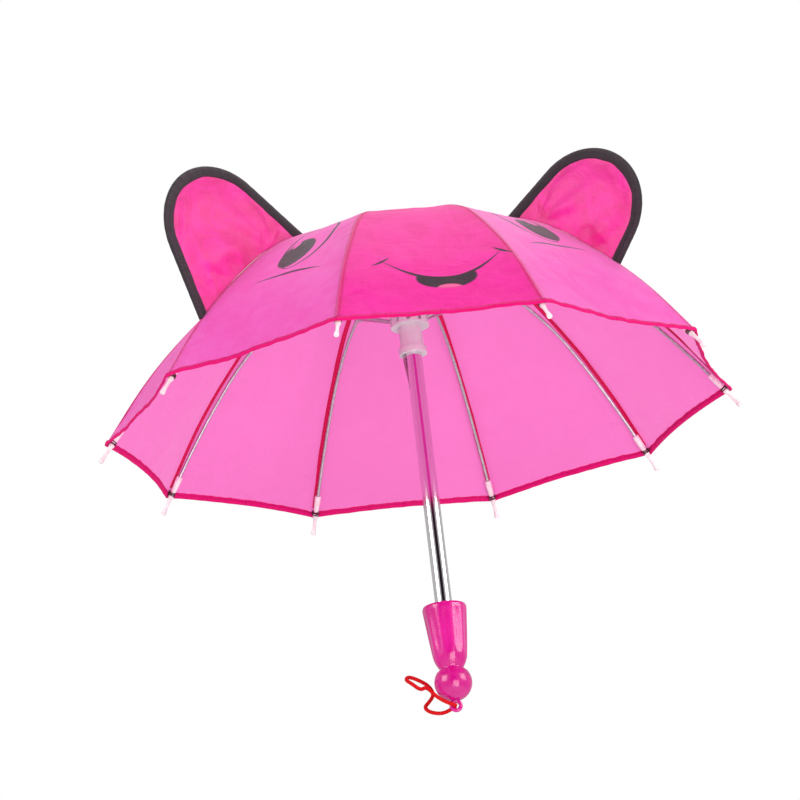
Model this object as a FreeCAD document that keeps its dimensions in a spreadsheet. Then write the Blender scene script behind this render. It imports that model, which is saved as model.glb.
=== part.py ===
import FreeCAD, Part
import Sketcher
import math
import os
import re

# A doll-size folding umbrella, drawn open and upright: shaft along +Z, the origin on the
# shaft's axis in the middle of the grip, the face of the canopy towards -Y.  Ten wire ribs
# hang from a notched crown, ten stretchers tie them to a runner that slides on the tube, and
# the canopy is sewn from cloth that the ribs carry.

os.makedirs("parts", exist_ok=True)
doc = FreeCAD.newDocument("childrens_umbrella")
Vector = FreeCAD.Vector

# Driving sizes, in millimetres and degrees.
SIZES = [
    ("rib_count", 10, "ribs, and cloth panels"),
    ("first_rib_angle", -108, "angle of rib_01, from +X"),
    ("canopy_radius", 150, "shaft axis to a corner of the hem"),
    ("rim_height", 106, "hem corners above the middle of the grip"),
    ("canopy_rise", 92.5, "top of the cloth above the hem corners"),
    ("cloth_wall", 0.6, "cloth with its seam allowance"),
    ("cloth_gap", 0.15, "each half panel's clearance at a seam"),
    ("cloth_start", 6.2, "radius where the cloth begins under the washer"),
    ("panel_sag", 2.8, "how far a panel's middle draws in at the hem"),
    ("hem_scallop", 2.2, "how far the hem's middle draws up"),
    ("tube_radius", 4, "shaft tube, outside"),
    ("tube_wall", 0.5, "shaft tube wall"),
    ("socket_depth", 18.6, "tube inside the handle"),
    ("fit_gap", 0.08, "running clearance between round parts"),
    ("grip_top", 12.6, "handle's upper end"),
    ("grip_top_radius", 10.5, "handle at its upper end"),
    ("grip_end_radius", 8, "handle at the foot of its taper"),
    ("grip_taper", 24.6, "length of the tapered grip"),
    ("neck_radius", 5.75, "neck above the ball"),
    ("shoulder", 6, "length of the rounded shoulder"),
    ("ball_radius", 8.85, "ball at the handle's end"),
    ("ball_drop", 24.7, "ball's centre below the origin"),
    ("lug_radius", 2.2, "cord lug, centre line of the ring"),
    ("lug_wire", 0.95, "cord lug, half its thickness"),
    ("crown_drop", 8.1, "rib pivots below the top of the cloth"),
    ("crown_pivot", 6.5, "radius of the rib pivots"),
    ("crown_flange", 8.6, "crown flange radius"),
    ("crown_thick", 6, "crown flange thickness"),
    ("crown_neck", 7.2, "radius of the crown's seat for the cloth"),
    ("crown_slot_inner", 5, "ribs' slots begin here, from the shaft axis"),
    ("seat_gap", 0.9, "cloth above the crown's seat"),
    ("washer_radius", 12.5, "washer that presses the cloth down"),
    ("washer_thick", 0.8, "washer thickness"),
    ("washer_lift", 0.3, "washer above the top of the cloth"),
    ("ferrule_cap", 7.5, "ferrule cap radius"),
    ("ferrule_cap_thick", 1.6, "ferrule cap thickness"),
    ("ferrule_cap_taper", 0.8, "ferrule cap's top, as a share of its foot"),
    ("ferrule_plug", 6, "ferrule's plug inside the tube"),
    ("ferrule_radius", 2.5, "ferrule pin radius"),
    ("ferrule_length", 7, "ferrule pin length"),
    ("runner_pivot_height", 156.5, "stretcher pivots above the origin"),
    ("runner_pivot", 7.4, "radius of the stretcher pivots"),
    ("runner_flange", 9.2, "runner's upper flange radius"),
    ("runner_flange_thick", 7, "runner's upper flange thickness"),
    ("runner_body", 5.6, "runner barrel radius"),
    ("runner_barrel", 11, "runner barrel length"),
    ("runner_foot", 6.65, "runner's lower flange radius"),
    ("runner_foot_thick", 3, "runner's lower flange thickness"),
    ("runner_pivot_lift", 1, "stretcher pivots above the flange's middle"),
    ("runner_slot_floor", 1, "floor left under the stretchers' slots"),
    ("runner_slot_inner", 6, "stretchers' slots begin here, from the shaft axis"),
    ("keyway_gap", 0.15, "runner's keyway past the catch's nose"),
    ("catch_width", 2.6, "spring catch width"),
    ("catch_length", 15.5, "spring catch length"),
    ("catch_reach", 5.15, "catch nose, from the shaft axis"),
    ("catch_leaf", 0.6, "catch leaf thickness"),
    ("catch_clearance", 0.6, "runner's foot above the catch nose"),
    ("catch_sink", 0.7, "catch's heel inside the tube's outer face"),
    ("catch_nose_drop", 1.6, "widest point of the catch, below its upper end"),
    ("catch_return", 0.6, "catch's upper fold, back inside its heel"),
    ("catch_bevel", 0.4, "bevel of the catch's nose"),
    ("slot_below", 1.4, "tube's slot past the catch's foot"),
    ("slot_above", 1, "tube's slot past the catch's upper end"),
    ("rib_wire", 0.75, "rib wire radius"),
    ("rib_lean_crown", 2, "rib wire's slope at the crown, degrees below level"),
    ("rib_lean_inner", 16, "its slope a third of the way out"),
    ("rib_lean_outer", 45, "its slope two thirds of the way out"),
    ("rib_lean_hem", 55, "its slope at the hem"),
    ("rib_pin", 0.6, "pivot pin radius at a wire's end"),
    ("rib_pin_length", 3, "pivot pin length"),
    ("bore_spare", 0.1, "pivot bore past the pin, each end"),
    ("slot_clearance", 0.2, "slot wall to wire, each side"),
    ("joint_radius", 60, "where a stretcher meets its rib, from the shaft axis"),
    ("joint_hang", 2.2, "stretcher joint below the rib wire"),
    ("eye_radius", 1.5, "eye at the stretcher joint"),
    ("stretcher_eye_thick", 1.04, "stretcher's flattened eye"),
    ("stretcher_wire", 0.65, "stretcher wire radius"),
    ("stretcher_offset", 1.6, "stretcher beside its rib"),
    ("tip_start", 140.6, "where a rib's plastic tip begins, from the shaft axis"),
    ("tip_sleeve_radius", 1.55, "plastic rib tip sleeve"),
    ("tip_sleeve_length", 10.5, "plastic rib tip sleeve length"),
    ("tip_cover", 8.5, "rib wire inside its tip"),
    ("tip_bore_spare", 0.4, "free depth of the tip's bore past the wire's end"),
    ("tip_rod_radius", 0.8, "rib tip's slim outer rod"),
    ("tip_rod_length", 9, "rib tip's slim outer rod length"),
    ("tip_bulb", 1.2, "bulb at the rib tip's end"),
    ("ear_thick", 2, "ear, two cloths and their filling"),
    ("ear_start", 60, "inner end of an ear's seam, from the shaft axis"),
    ("right_ear_end", 116, "outer end of the right ear's seam, from the shaft axis"),
    ("right_ear_radius", 30.8, "round top of the right ear"),
    ("right_ear_out", 101.5, "right ear's round centre, from the shaft axis"),
    ("right_ear_up", 74.2, "right ear's round centre above the hem corners"),
    ("left_ear_end", 127, "outer end of the left ear's seam, from the shaft axis"),
    ("left_ear_radius", 33.5, "round top of the left ear"),
    ("left_ear_out", 108.5, "left ear's round centre, from the shaft axis"),
    ("left_ear_up", 76.5, "left ear's round centre above the hem corners"),
    ("ear_clear", 0.5, "ear above the cloth"),
    ("cord_radius", 0.9, "wrist cord"),
    ("overrun", 10, "how far a cutter stands out past the piece that it cuts"),
]

sheet = doc.addObject("Spreadsheet::Sheet", "sizes")
for row, (alias, number, note) in enumerate(SIZES, 1):
    sheet.set(f"A{row}", note)
    sheet.set(f"B{row}", str(number))
    sheet.setAlias(f"B{row}", alias)
doc.recompute()


def size(alias):
    """One driving size, as a number."""
    return float(getattr(sheet, alias))


def bind(obj, **properties):
    """Bind properties of an object to formulas over the sheet's aliases."""
    for name, formula in properties.items():
        words = re.sub(r"[a-z][a-z_]+", r"sizes.\g<0>", formula)
        obj.setExpression(name.replace("__", "."), words)
    return obj


def solid(kind, name, **formulas):
    """A Part primitive whose sizes are formulas over the sheet."""
    return bind(doc.addObject("Part::" + kind, name), **formulas)


def raised(obj, formula):
    """Lift an object along Z by a formula over the sheet."""
    return bind(obj, Placement__Base__z=formula)


def fused(name, shapes):
    joined = doc.addObject("Part::MultiFuse", name)
    joined.Shapes = shapes
    return joined


def cut(name, base, tools):
    result = doc.addObject("Part::Cut", name)
    result.Base = base
    result.Tool = tools[0] if len(tools) == 1 else fused(name + "_tools", tools)
    return result


def sketch_in(body, plane, name):
    """An empty sketch on one of its own body's origin planes."""
    sketch = body.newObject("Sketcher::SketchObject", name)
    sketch.AttachmentSupport = [(p, "") for p in body.Origin.OriginFeatures if p.Role == plane]
    sketch.MapMode = "FlatFace"
    return sketch


def padded(body, sketch, name, length):
    """A pad to both sides of its sketch; its length is a formula."""
    pad = body.newObject("PartDesign::Pad", name)
    pad.Profile = sketch
    pad.Midplane = True
    return bind(pad, Length=length)


SUBPARTS = []


def keep(obj, label, placement=None):
    """Name a finished piece; its label is its file's name."""
    obj.Label = label
    if placement is not None:
        obj.Placement = placement
    SUBPARTS.append(obj)
    return obj


def turned_to(angle):
    """Placement that carries a piece drawn along +X round the shaft."""
    return FreeCAD.Placement(Vector(0, 0, 0), FreeCAD.Rotation(Vector(0, 0, 1), angle))


def across(obj, x, y, z):
    """Lay a cylinder along Y, centred on its length."""
    obj.Placement = FreeCAD.Placement(Vector(x, y, z), FreeCAD.Rotation(Vector(1, 0, 0), 90))
    return obj


RIBS = int(size("rib_count"))
STEP = 360 / RIBS
RIB_ANGLES = [size("first_rib_angle") + STEP * k for k in range(RIBS)]
RIM = size("rim_height")
TOP = RIM + size("canopy_rise")
PIVOT_OUT = size("crown_pivot")
PIVOT_UP = TOP - size("crown_drop")
RUNNER_UP = size("runner_pivot_height")


# ---- Curves of the open canopy, in the plane of one rib ----

# Cloth along a rib: share of the canopy's radius, share of its rise.
CLOTH_PROFILE = [
    (0.0, 1.0),
    (0.287, 0.9655),
    (0.493, 0.845),
    (0.64, 0.67),
    (0.833, 0.362),
    (1.0, 0.0),
]


def cloth_height(radius):
    """Height of the cloth's upper face over a rib, by straight steps along its profile."""
    share = radius / size("canopy_radius")
    for (r0, h0), (r1, h1) in zip(CLOTH_PROFILE, CLOTH_PROFILE[1:]):
        if share <= r1:
            break
    return RIM + size("canopy_rise") * (h0 + (h1 - h0) * (share - r0) / (r1 - r0))


RIB_LEANS = [
    (0.0, "rib_lean_crown"),
    (0.35, "rib_lean_inner"),
    (0.7, "rib_lean_outer"),
    (1.0, "rib_lean_hem"),
]


def rib_arcs():
    """A rib wire's centre line: three arcs, end to end, that run smoothly into each other.

    Each is (start radius, start height, start slope, end radius, end slope, bend radius)."""
    arcs = []
    radius, height = PIVOT_OUT, PIVOT_UP
    for (share, lean), (next_share, next_lean) in zip(RIB_LEANS, RIB_LEANS[1:]):
        slope, next_slope = math.radians(size(lean)), math.radians(size(next_lean))
        end = PIVOT_OUT + (size("canopy_radius") - PIVOT_OUT) * next_share
        bend = (end - radius) / (math.sin(next_slope) - math.sin(slope))
        arcs.append((radius, height, slope, end, next_slope, bend))
        height -= bend * (math.cos(slope) - math.cos(next_slope))
        radius = end
    return arcs


RIB_ARCS = rib_arcs()


def rib_slope(radius):
    """The rib wire's slope below level, in radians, with the arc that it is on."""
    arc = [a for a in RIB_ARCS if a[0] <= radius][-1]
    return math.asin(math.sin(arc[2]) + (radius - arc[0]) / arc[5]), arc


def rib_height(radius):
    """Height of a rib wire's centre line."""
    slope, arc = rib_slope(radius)
    return arc[1] - arc[5] * (math.cos(arc[2]) - math.cos(slope))


def rib_direction(radius):
    """Direction of the rib wire, outward."""
    slope = rib_slope(radius)[0]
    return Vector(math.cos(slope), 0, -math.sin(slope))


JOINT_OUT = size("joint_radius")
JOINT_UP = rib_height(JOINT_OUT) - size("joint_hang")
TIP_OUT = size("tip_start")
END_OUT = TIP_OUT + size("tip_cover") * rib_direction(TIP_OUT).x
TIP_AT = Vector(TIP_OUT, 0, rib_height(TIP_OUT))
RIB_END = Vector(END_OUT, 0, rib_height(END_OUT))
TIP_FORWARD = (RIB_END - TIP_AT).normalize()


# ---- Shaft tube, with the long slot that the spring catch sinks into ----

FLANGE_FOOT = RUNNER_UP - size("runner_flange_thick") / 2 - size("runner_pivot_lift")
RUNNER_FOOT = FLANGE_FOOT - size("runner_barrel") - size("runner_foot_thick")
CATCH_TOP = RUNNER_FOOT - size("catch_clearance")
CATCH_FOOT = CATCH_TOP - size("catch_length")
CROWN_SEAT = TOP - size("cloth_wall") - size("seat_gap")
TUBE_TOP = CROWN_SEAT - size("seat_gap")

tube = doc.addObject("PartDesign::Body", "tube_body")
section = sketch_in(tube, "XY_Plane", "tube_section")
TUBE_FACES = [
    ("tube_radius", size("tube_radius")),
    ("tube_radius - tube_wall", size("tube_radius") - size("tube_wall")),
]
for formula, radius in TUBE_FACES:
    circle = section.addGeometry(Part.Circle(Vector(), Vector(0, 0, 1), radius))
    section.addConstraint(Sketcher.Constraint("Coincident", circle, 3, -1, 1))
    limit = section.addConstraint(Sketcher.Constraint("Radius", circle, radius))
    bind(section, **{f"Constraints[{limit}]": formula})
tube_pad = tube.newObject("PartDesign::Pad", "tube_pad")
tube_pad.Profile = section
bind(tube_pad, Length="rim_height + canopy_rise - cloth_wall - 2 * seat_gap - grip_top + socket_depth")
raised(tube, "grip_top - socket_depth")

slot = solid(
    "Box", "catch_slot", Length="tube_radius", Width="catch_width + 2 * slot_clearance",
    Height="catch_length + slot_below + slot_above",
)
bind(slot, Placement__Base__x="-tube_radius * 1.5", Placement__Base__y="-catch_width / 2 - slot_clearance")
slot.Placement.Base.z = CATCH_FOOT - size("slot_below")
keep(cut("slotted_tube", tube, [slot]), "shaft_tube")


# ---- Spring catch: a folded leaf that stands out just under the runner ----

NOSE = size("catch_reach")
LEAF = size("catch_leaf")
HEEL = size("tube_radius") - size("catch_sink")
FOLD = HEEL - size("catch_return")
catch_outline = [
    (HEEL - LEAF / 2, CATCH_FOOT),
    (HEEL + LEAF / 2, CATCH_FOOT),
    (NOSE, CATCH_TOP - size("catch_nose_drop")),
    (NOSE - size("catch_bevel"), CATCH_TOP),
    (FOLD, CATCH_TOP),
    (FOLD, CATCH_TOP - LEAF),
    (NOSE - 1.5 * LEAF, CATCH_TOP - size("catch_nose_drop")),
]


def outline_body(name, plane_points, thickness):
    """A flat piece cut to a closed outline in the XZ plane and padded to both sides."""
    body = doc.addObject("PartDesign::Body", name)
    outline = sketch_in(body, "XZ_Plane", name + "_outline")
    ends = plane_points[1:] + plane_points[:1]
    for (x0, z0), (x1, z1) in zip(plane_points, ends):
        outline.addGeometry(Part.LineSegment(Vector(x0, z0, 0), Vector(x1, z1, 0)))
    padded(body, outline, name + "_pad", thickness)
    return body


leaf = outline_body("catch_leaf_body", [(-x, z) for x, z in catch_outline], "catch_width")
heel_pin = across(
    solid("Cylinder", "catch_heel", Radius="rib_pin", Height="catch_width"),
    -HEEL, size("catch_width") / 2, CATCH_FOOT,
)
keep(fused("catch", [leaf, heel_pin]), "catch_spring")


# ---- Handle: tapered grip, rounded shoulder, neck, ball and cord lug ----

grip = solid("Cone", "grip", Radius1="grip_end_radius", Radius2="grip_top_radius", Height="grip_taper")
raised(grip, "grip_top - grip_taper")
shoulder = solid("Cone", "grip_shoulder", Radius1="neck_radius", Radius2="grip_end_radius", Height="shoulder")
raised(shoulder, "grip_top - grip_taper - shoulder")
ball = raised(solid("Sphere", "ball", Radius="ball_radius"), "-ball_drop")
lug = solid("Torus", "cord_lug", Radius1="lug_radius", Radius2="lug_wire")
lug.Placement.Rotation = FreeCAD.Rotation(Vector(1, 0, 0), 90)
raised(lug, "-ball_drop - ball_radius - lug_radius")
socket = solid("Cylinder", "tube_socket", Radius="tube_radius + fit_gap", Height="socket_depth + 1")
raised(socket, "grip_top - socket_depth")
keep(cut("handle_body", fused("grip_and_ball", [grip, shoulder, ball, lug]), [socket]), "handle")


# ---- Wrist cord: one limp loop, tied through the lug ----

LUG_UP = -size("ball_drop") - size("ball_radius") - size("lug_radius")
CORD_ROUTE = [
    (0.0, -0.6, 0.0),
    (-4.0, -3.5, 0.8),
    (-9.2, -3.8, 4.4),
    (-12.8, -3.0, 9.6),
    (-15.9, -3.6, 8.0),
    (-19.4, -2.4, 11.8),
    (-22.0, -0.4, 14.4),
    (-20.4, 1.6, 16.4),
    (-15.8, 3.2, 14.8),
    (-10.8, 5.6, 12.0),
    (-8.8, 7.8, 8.2),
    (-11.6, 6.6, 4.6),
    (-14.4, 4.4, 1.8),
    (-12.4, 2.8, -1.2),
    (-7.0, 1.8, -2.8),
    (-2.6, 1.4, -1.4),
    (0.0, 0.6, 0.0),
]


def cord_tube(points, radius):
    """A tube along straight runs joined by tangent arcs, and its path's length."""
    edges = []
    start = points[0]
    for before, corner, after in zip(points, points[1:], points[2:]):
        back = (before - corner).normalize()
        onward = (after - corner).normalize()
        half_turn = (math.pi - back.getAngle(onward)) / 2
        bend = 0.45 * min(before.distanceToPoint(corner), corner.distanceToPoint(after))
        arc_radius = bend / math.tan(half_turn)
        inward = (back + onward).normalize()
        middle = corner + inward * (arc_radius / math.cos(half_turn) - arc_radius)
        enter = corner + back * bend
        leave = corner + onward * bend
        print(f"cord bend: turn {math.degrees(2 * half_turn):.0f} deg, radius {arc_radius:.2f} mm")
        edges.append(Part.LineSegment(start, enter).toShape())
        edges.append(Part.Arc(enter, middle, leave).toShape())
        start = leave
    edges.append(Part.LineSegment(start, points[-1]).toShape())
    path = Part.Wire(edges)
    circle = Part.Circle(points[0], points[1] - points[0], radius)
    tube_shape = path.makePipeShell([Part.Wire(circle.toShape())], True, True)
    expected = path.Length * math.pi * radius**2
    print(f"cord: {path.Length:.1f} mm long, volume {tube_shape.Volume:.1f} of {expected:.1f} mm3")
    return tube_shape


cord = doc.addObject("Part::Feature", "cord")
cord.Shape = cord_tube([Vector(x, y, z + LUG_UP) for x, y, z in CORD_ROUTE], size("cord_radius"))
keep(cord, "wrist_cord")


# ---- Crown: notched flange for the ribs, and a seat for the cloth ----

def rib_slots(prefix, wire, side, foot, height, pivot_out, pivot_up):
    """The slot and the pivot bore of each wire, round the shaft; side is the wire's offset."""
    tools = []
    for k, angle in enumerate(RIB_ANGLES, 1):
        slot = solid(
            "Box", f"{prefix}_slot_{k:02d}", Length="washer_radius", Width=f"2 * ({wire} + slot_clearance)",
            Height=height,
        )
        slot_side = side - size(wire) - size("slot_clearance")
        slot.Placement.Base = Vector(size(f"{prefix}_slot_inner"), slot_side, foot)
        bore = across(
            solid(
                "Cylinder", f"{prefix}_bore_{k:02d}", Radius="rib_pin + fit_gap",
                Height="rib_pin_length + 2 * bore_spare",
            ),
            pivot_out, side + size("rib_pin_length") / 2 + size("bore_spare"), pivot_up,
        )
        for tool in (slot, bore):
            tool.Placement = turned_to(angle).multiply(tool.Placement)
            tools.append(tool)
    return tools


flange = solid("Cylinder", "crown_disc", Radius="crown_flange", Height="crown_thick")
flange.Placement.Base.z = PIVOT_UP - size("crown_thick") / 2
neck = solid("Cylinder", "crown_seat", Radius="crown_neck")
neck.Placement.Base.z = PIVOT_UP + size("crown_thick") / 2
neck.Height = CROWN_SEAT - neck.Placement.Base.z
bore = solid("Cylinder", "crown_bore", Radius="tube_radius + fit_gap")
bore.Placement.Base.z = PIVOT_UP - size("crown_thick")
bore.Height = 3 * size("crown_thick")
slots = rib_slots(
    "crown", "rib_wire", 0, PIVOT_UP - size("crown_thick") / 2 - size("slot_clearance"),
    "crown_thick + 2 * slot_clearance", PIVOT_OUT, PIVOT_UP,
)
keep(cut("notched_crown", fused("crown_blank", [flange, neck]), [bore] + slots), "crown")


# ---- Washer and ferrule that clamp the cloth on the crown ----

WASHER_UP = TOP + size("washer_lift")
washer = solid("Cylinder", "washer_disc", Radius="washer_radius", Height="washer_thick")
washer.Placement.Base.z = WASHER_UP
washer_hole = solid("Cylinder", "washer_hole", Radius="tube_radius", Height="3 * washer_thick")
washer_hole.Placement.Base.z = WASHER_UP - size("washer_thick")
keep(cut("washer", washer, [washer_hole]), "canopy_washer")

FERRULE_UP = WASHER_UP + size("washer_thick")
cap = solid(
    "Cone", "ferrule_cap_disc", Radius1="ferrule_cap", Radius2="ferrule_cap * ferrule_cap_taper",
    Height="ferrule_cap_thick",
)
cap.Placement.Base.z = FERRULE_UP
stub = solid("Cylinder", "ferrule_stub", Radius="ferrule_radius", Height="ferrule_length")
stub.Placement.Base.z = FERRULE_UP + size("ferrule_cap_thick")
plug = solid("Cylinder", "ferrule_plug_pin", Radius="tube_radius - tube_wall - fit_gap")
plug.Placement.Base.z = TUBE_TOP - size("ferrule_plug")
plug.Height = FERRULE_UP - plug.Placement.Base.z
keep(fused("ferrule_body", [cap, stub, plug]), "ferrule")


# ---- Runner: slides on the tube; a keyway lets it pass the catch ----

runner_flange = solid("Cylinder", "runner_disc", Radius="runner_flange", Height="runner_flange_thick")
runner_flange.Placement.Base.z = FLANGE_FOOT
barrel = solid("Cylinder", "runner_barrel_tube", Radius="runner_body", Height="runner_barrel")
barrel.Placement.Base.z = FLANGE_FOOT - size("runner_barrel")
foot = solid("Cylinder", "runner_foot_disc", Radius="runner_foot", Height="runner_foot_thick")
foot.Placement.Base.z = RUNNER_FOOT
THROUGH = "runner_flange_thick + runner_barrel + runner_foot_thick + 2 * overrun"
runner_bore = solid("Cylinder", "runner_bore", Radius="tube_radius + fit_gap", Height=THROUGH)
runner_bore.Placement.Base.z = RUNNER_FOOT - size("overrun")
keyway = solid(
    "Box", "runner_keyway", Length="catch_reach + keyway_gap", Width="catch_width + 2 * slot_clearance",
    Height=THROUGH,
)
bind(keyway, Placement__Base__x="-catch_reach - keyway_gap")
bind(keyway, Placement__Base__y="-catch_width / 2 - slot_clearance")
keyway.Placement.Base.z = RUNNER_FOOT - size("overrun")
runner_slots = rib_slots(
    "runner", "stretcher_wire", size("stretcher_offset"), FLANGE_FOOT + size("runner_slot_floor"),
    "runner_flange_thick", size("runner_pivot"), RUNNER_UP,
)
blank = fused("runner_blank", [runner_flange, barrel, foot])
keep(cut("runner_body_cut", blank, [runner_bore, keyway] + runner_slots), "runner")


# ---- Ribs, their plastic tips and the stretchers ----

def wire_between(name, start, end, radius_alias):
    """A straight wire from one point to another."""
    wire = solid("Cylinder", name, Radius=radius_alias)
    wire.Height = start.distanceToPoint(end)
    wire.Placement = FreeCAD.Placement(start, FreeCAD.Rotation(Vector(0, 0, 1), end - start))
    return wire


def bent_wire(name, arc, end_slope):
    """One arc of a rib wire, up to a slope."""
    radius, height, slope, bend = arc[0], arc[1], arc[2], arc[5]
    wire = solid("Torus", name, Radius2="rib_wire")
    wire.Radius1 = bend
    wire.Angle3 = math.degrees(end_slope - slope)
    out = Vector(math.sin(slope), 0, math.cos(slope))
    turn = FreeCAD.Rotation(out, Vector(0, 1, 0).cross(out), Vector(0, 1, 0), "ZXY")
    wire.Placement = FreeCAD.Placement(Vector(radius, 0, height) - out * bend, turn)
    return wire


def bowed_rib(number):
    """A rib wire: a pivot pin at the crown, a bowed run, and an eye for its stretcher."""
    end_slope = rib_slope(RIB_END.x)[0]
    runs = []
    for index, arc in enumerate(RIB_ARCS, 1):
        runs.append(bent_wire(f"rib_run_{number}_{index}", arc, min(arc[4], end_slope)))
    pin = across(
        solid("Cylinder", f"rib_pin_{number}", Radius="rib_pin", Height="rib_pin_length"),
        PIVOT_OUT, size("rib_pin_length") / 2, PIVOT_UP,
    )
    eye = across(
        solid("Cylinder", f"rib_eye_{number}", Radius="eye_radius", Height="2 * rib_wire"),
        JOINT_OUT, size("rib_wire"), JOINT_UP,
    )
    neck = wire_between(
        f"rib_eye_neck_{number}", Vector(JOINT_OUT, 0, JOINT_UP), Vector(JOINT_OUT, 0, rib_height(JOINT_OUT)),
        "stretcher_wire",
    )
    return fused(f"rib_body_{number}", runs + [pin, eye, neck])


def rib_tip(number):
    """A moulded tip: sleeve over the wire, an eye for the thread, a slim rod and a bulb."""
    sleeve = solid("Cylinder", f"tip_sleeve_{number}", Radius="tip_sleeve_radius", Height="tip_sleeve_length")
    rod = solid("Cylinder", f"tip_rod_{number}", Radius="tip_rod_radius", Height="tip_rod_length")
    raised(rod, "tip_sleeve_length")
    bulb = solid("Sphere", f"tip_bulb_{number}", Radius="tip_bulb")
    raised(bulb, "tip_sleeve_length + tip_rod_length")
    bore = solid("Cylinder", f"tip_bore_{number}", Radius="rib_wire + fit_gap")
    bind(bore, Height="bore_spare + tip_cover + tip_bore_spare")
    raised(bore, "-bore_spare")
    moulding = fused(f"tip_moulding_{number}", [sleeve, rod, bulb])
    return cut(f"tip_body_{number}", moulding, [bore])


def stretcher(number):
    """A straight wire beside its rib, from the runner's pivot to an eye at the rib's joint."""
    side = size("stretcher_offset")
    low = Vector(size("runner_pivot"), side, RUNNER_UP)
    high = Vector(JOINT_OUT, side, JOINT_UP)
    wire = wire_between(f"stretcher_wire_{number}", low, high, "stretcher_wire")
    pin = across(
        solid("Cylinder", f"stretcher_pin_{number}", Radius="rib_pin", Height="rib_pin_length"),
        low.x, side + size("rib_pin_length") / 2, low.z,
    )
    eye = across(
        solid("Cylinder", f"stretcher_eye_{number}", Radius="eye_radius", Height="stretcher_eye_thick"),
        high.x, side + size("stretcher_eye_thick") / 2, high.z,
    )
    return fused(f"stretcher_body_{number}", [wire, pin, eye])


for k, angle in enumerate(RIB_ANGLES, 1):
    number = f"{k:02d}"
    keep(bowed_rib(number), f"rib_{number}", turned_to(angle))
    in_rib_plane = FreeCAD.Placement(TIP_AT, FreeCAD.Rotation(Vector(0, 0, 1), TIP_FORWARD))
    keep(rib_tip(number), f"rib_tip_{number}", turned_to(angle).multiply(in_rib_plane))
    keep(stretcher(number), f"stretcher_{number}", turned_to(angle))


# ---- Canopy: on each side of every rib, half of the panel that ends there ----

HALF_STEP = math.radians(STEP / 2)
STATIONS = [size("cloth_start") / size("canopy_radius")] + [s for s, rise in CLOTH_PROFILE[1:]]


def half_panel_section(share, side):
    """Cross-section of a half panel: from the rib's plane to the middle of the panel."""
    radius = share * size("canopy_radius")
    height = cloth_height(radius)
    fall = height - cloth_height(radius - 1)
    middle_out = Vector(math.cos(HALF_STEP), side * math.sin(HALF_STEP), 0)
    middle_across = Vector(-math.sin(HALF_STEP), side * math.cos(HALF_STEP), 0)
    run = middle_out * math.cos(HALF_STEP)
    hemward = (run + Vector(0, 0, fall)).normalize()
    middle_up = (Vector(0, 0, run.Length) - middle_out * fall).normalize()
    seam = Vector(radius, side * size("cloth_gap"), height)
    middle = run * radius + Vector(0, 0, height) - middle_across * size("cloth_gap")
    middle = middle - middle_up * (size("panel_sag") * share**2) - hemward * (size("hem_scallop") * share**6)
    # The wall is laid off along the shaft, which lies in both edges' planes.
    wall = Vector(0, 0, size("cloth_wall") * math.hypot(1, fall))
    corners = [seam, middle, middle - wall, seam - wall]
    return corners + corners[:1]


def half_panel(name, side):
    """A half panel, lofted straight from section to section."""
    sections = []
    for index, share in enumerate(STATIONS, 1):
        section = doc.addObject("Part::Polygon", f"{name}_section_{index}")
        section.Nodes = half_panel_section(share, side)
        sections.append(section)
    loft = doc.addObject("Part::Loft", name)
    loft.Sections = sections
    loft.Solid = True
    loft.Ruled = True
    return loft


for k, angle in enumerate(RIB_ANGLES, 1):
    for word, side in (("right", -1), ("left", 1)):
        keep(half_panel(f"half_{word}_{k:02d}", side), f"canopy_{word}_of_rib_{k:02d}", turned_to(angle))


# ---- Ears: round-topped cloth flaps sewn into the seams of rib_03 and rib_10 ----

def tangent_point(centre, radius, point, turn):
    """Where a line from a point touches a circle; turn is +1 or -1 for the side."""
    away = point - centre
    spread = math.acos(radius / away.Length)
    direction = math.atan2(away.y, away.x) + turn * spread
    return centre + Vector(math.cos(direction), math.sin(direction), 0) * radius


def ear(word):
    """One ear, drawn in its rib's plane: it follows the cloth, then rises to a round top."""
    body = doc.addObject("PartDesign::Body", f"ear_body_{word}")
    outline = sketch_in(body, "XZ_Plane", f"ear_outline_{word}")
    start, end = size("ear_start"), size(f"{word}_ear_end")
    bends = [share * size("canopy_radius") for share, rise in CLOTH_PROFILE]
    seam_radii = [start] + [bend for bend in bends if start < bend < end] + [end]
    seam = [Vector(r, cloth_height(r) + size("ear_clear"), 0) for r in seam_radii]
    centre = Vector(size(f"{word}_ear_out"), RIM + size(f"{word}_ear_up"), 0)
    radius = size(f"{word}_ear_radius")
    rear = tangent_point(centre, radius, seam[0], -1)
    front = tangent_point(centre, radius, seam[-1], 1)
    crest = centre + Vector(0, radius, 0)
    for first, last in zip(seam, seam[1:]):
        outline.addGeometry(Part.LineSegment(first, last))
    outline.addGeometry(Part.LineSegment(seam[-1], front))
    outline.addGeometry(Part.Arc(front, crest, rear))
    outline.addGeometry(Part.LineSegment(rear, seam[0]))
    padded(body, outline, f"ear_pad_{word}", "ear_thick")
    return body


keep(ear("right"), "ear_right", turned_to(RIB_ANGLES[2]))
keep(ear("left"), "ear_left", turned_to(RIB_ANGLES[9]))


# ---- Check every object, then write one STEP file per piece ----

doc.recompute()
faults = [o.Name for o in doc.Objects if "Invalid" in o.State or "Error" in o.State]
faults += [o.Label for o in SUBPARTS if o.Shape.isNull() or not o.Shape.isValid() or o.Shape.Volume < 0.1]
if faults:
    raise RuntimeError(f"these objects failed: {faults}")
for piece in SUBPARTS:
    piece.Shape.exportStep(f"parts/{piece.Label}.step")
print(f"{len(SUBPARTS)} pieces written")
print(f"joint at {JOINT_OUT:.2f}, {JOINT_UP:.3f}; crown pivot {PIVOT_OUT}, {PIVOT_UP:.3f}")
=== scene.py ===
import math

import bmesh
import bpy
from mathutils import Matrix, Vector, noise


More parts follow.
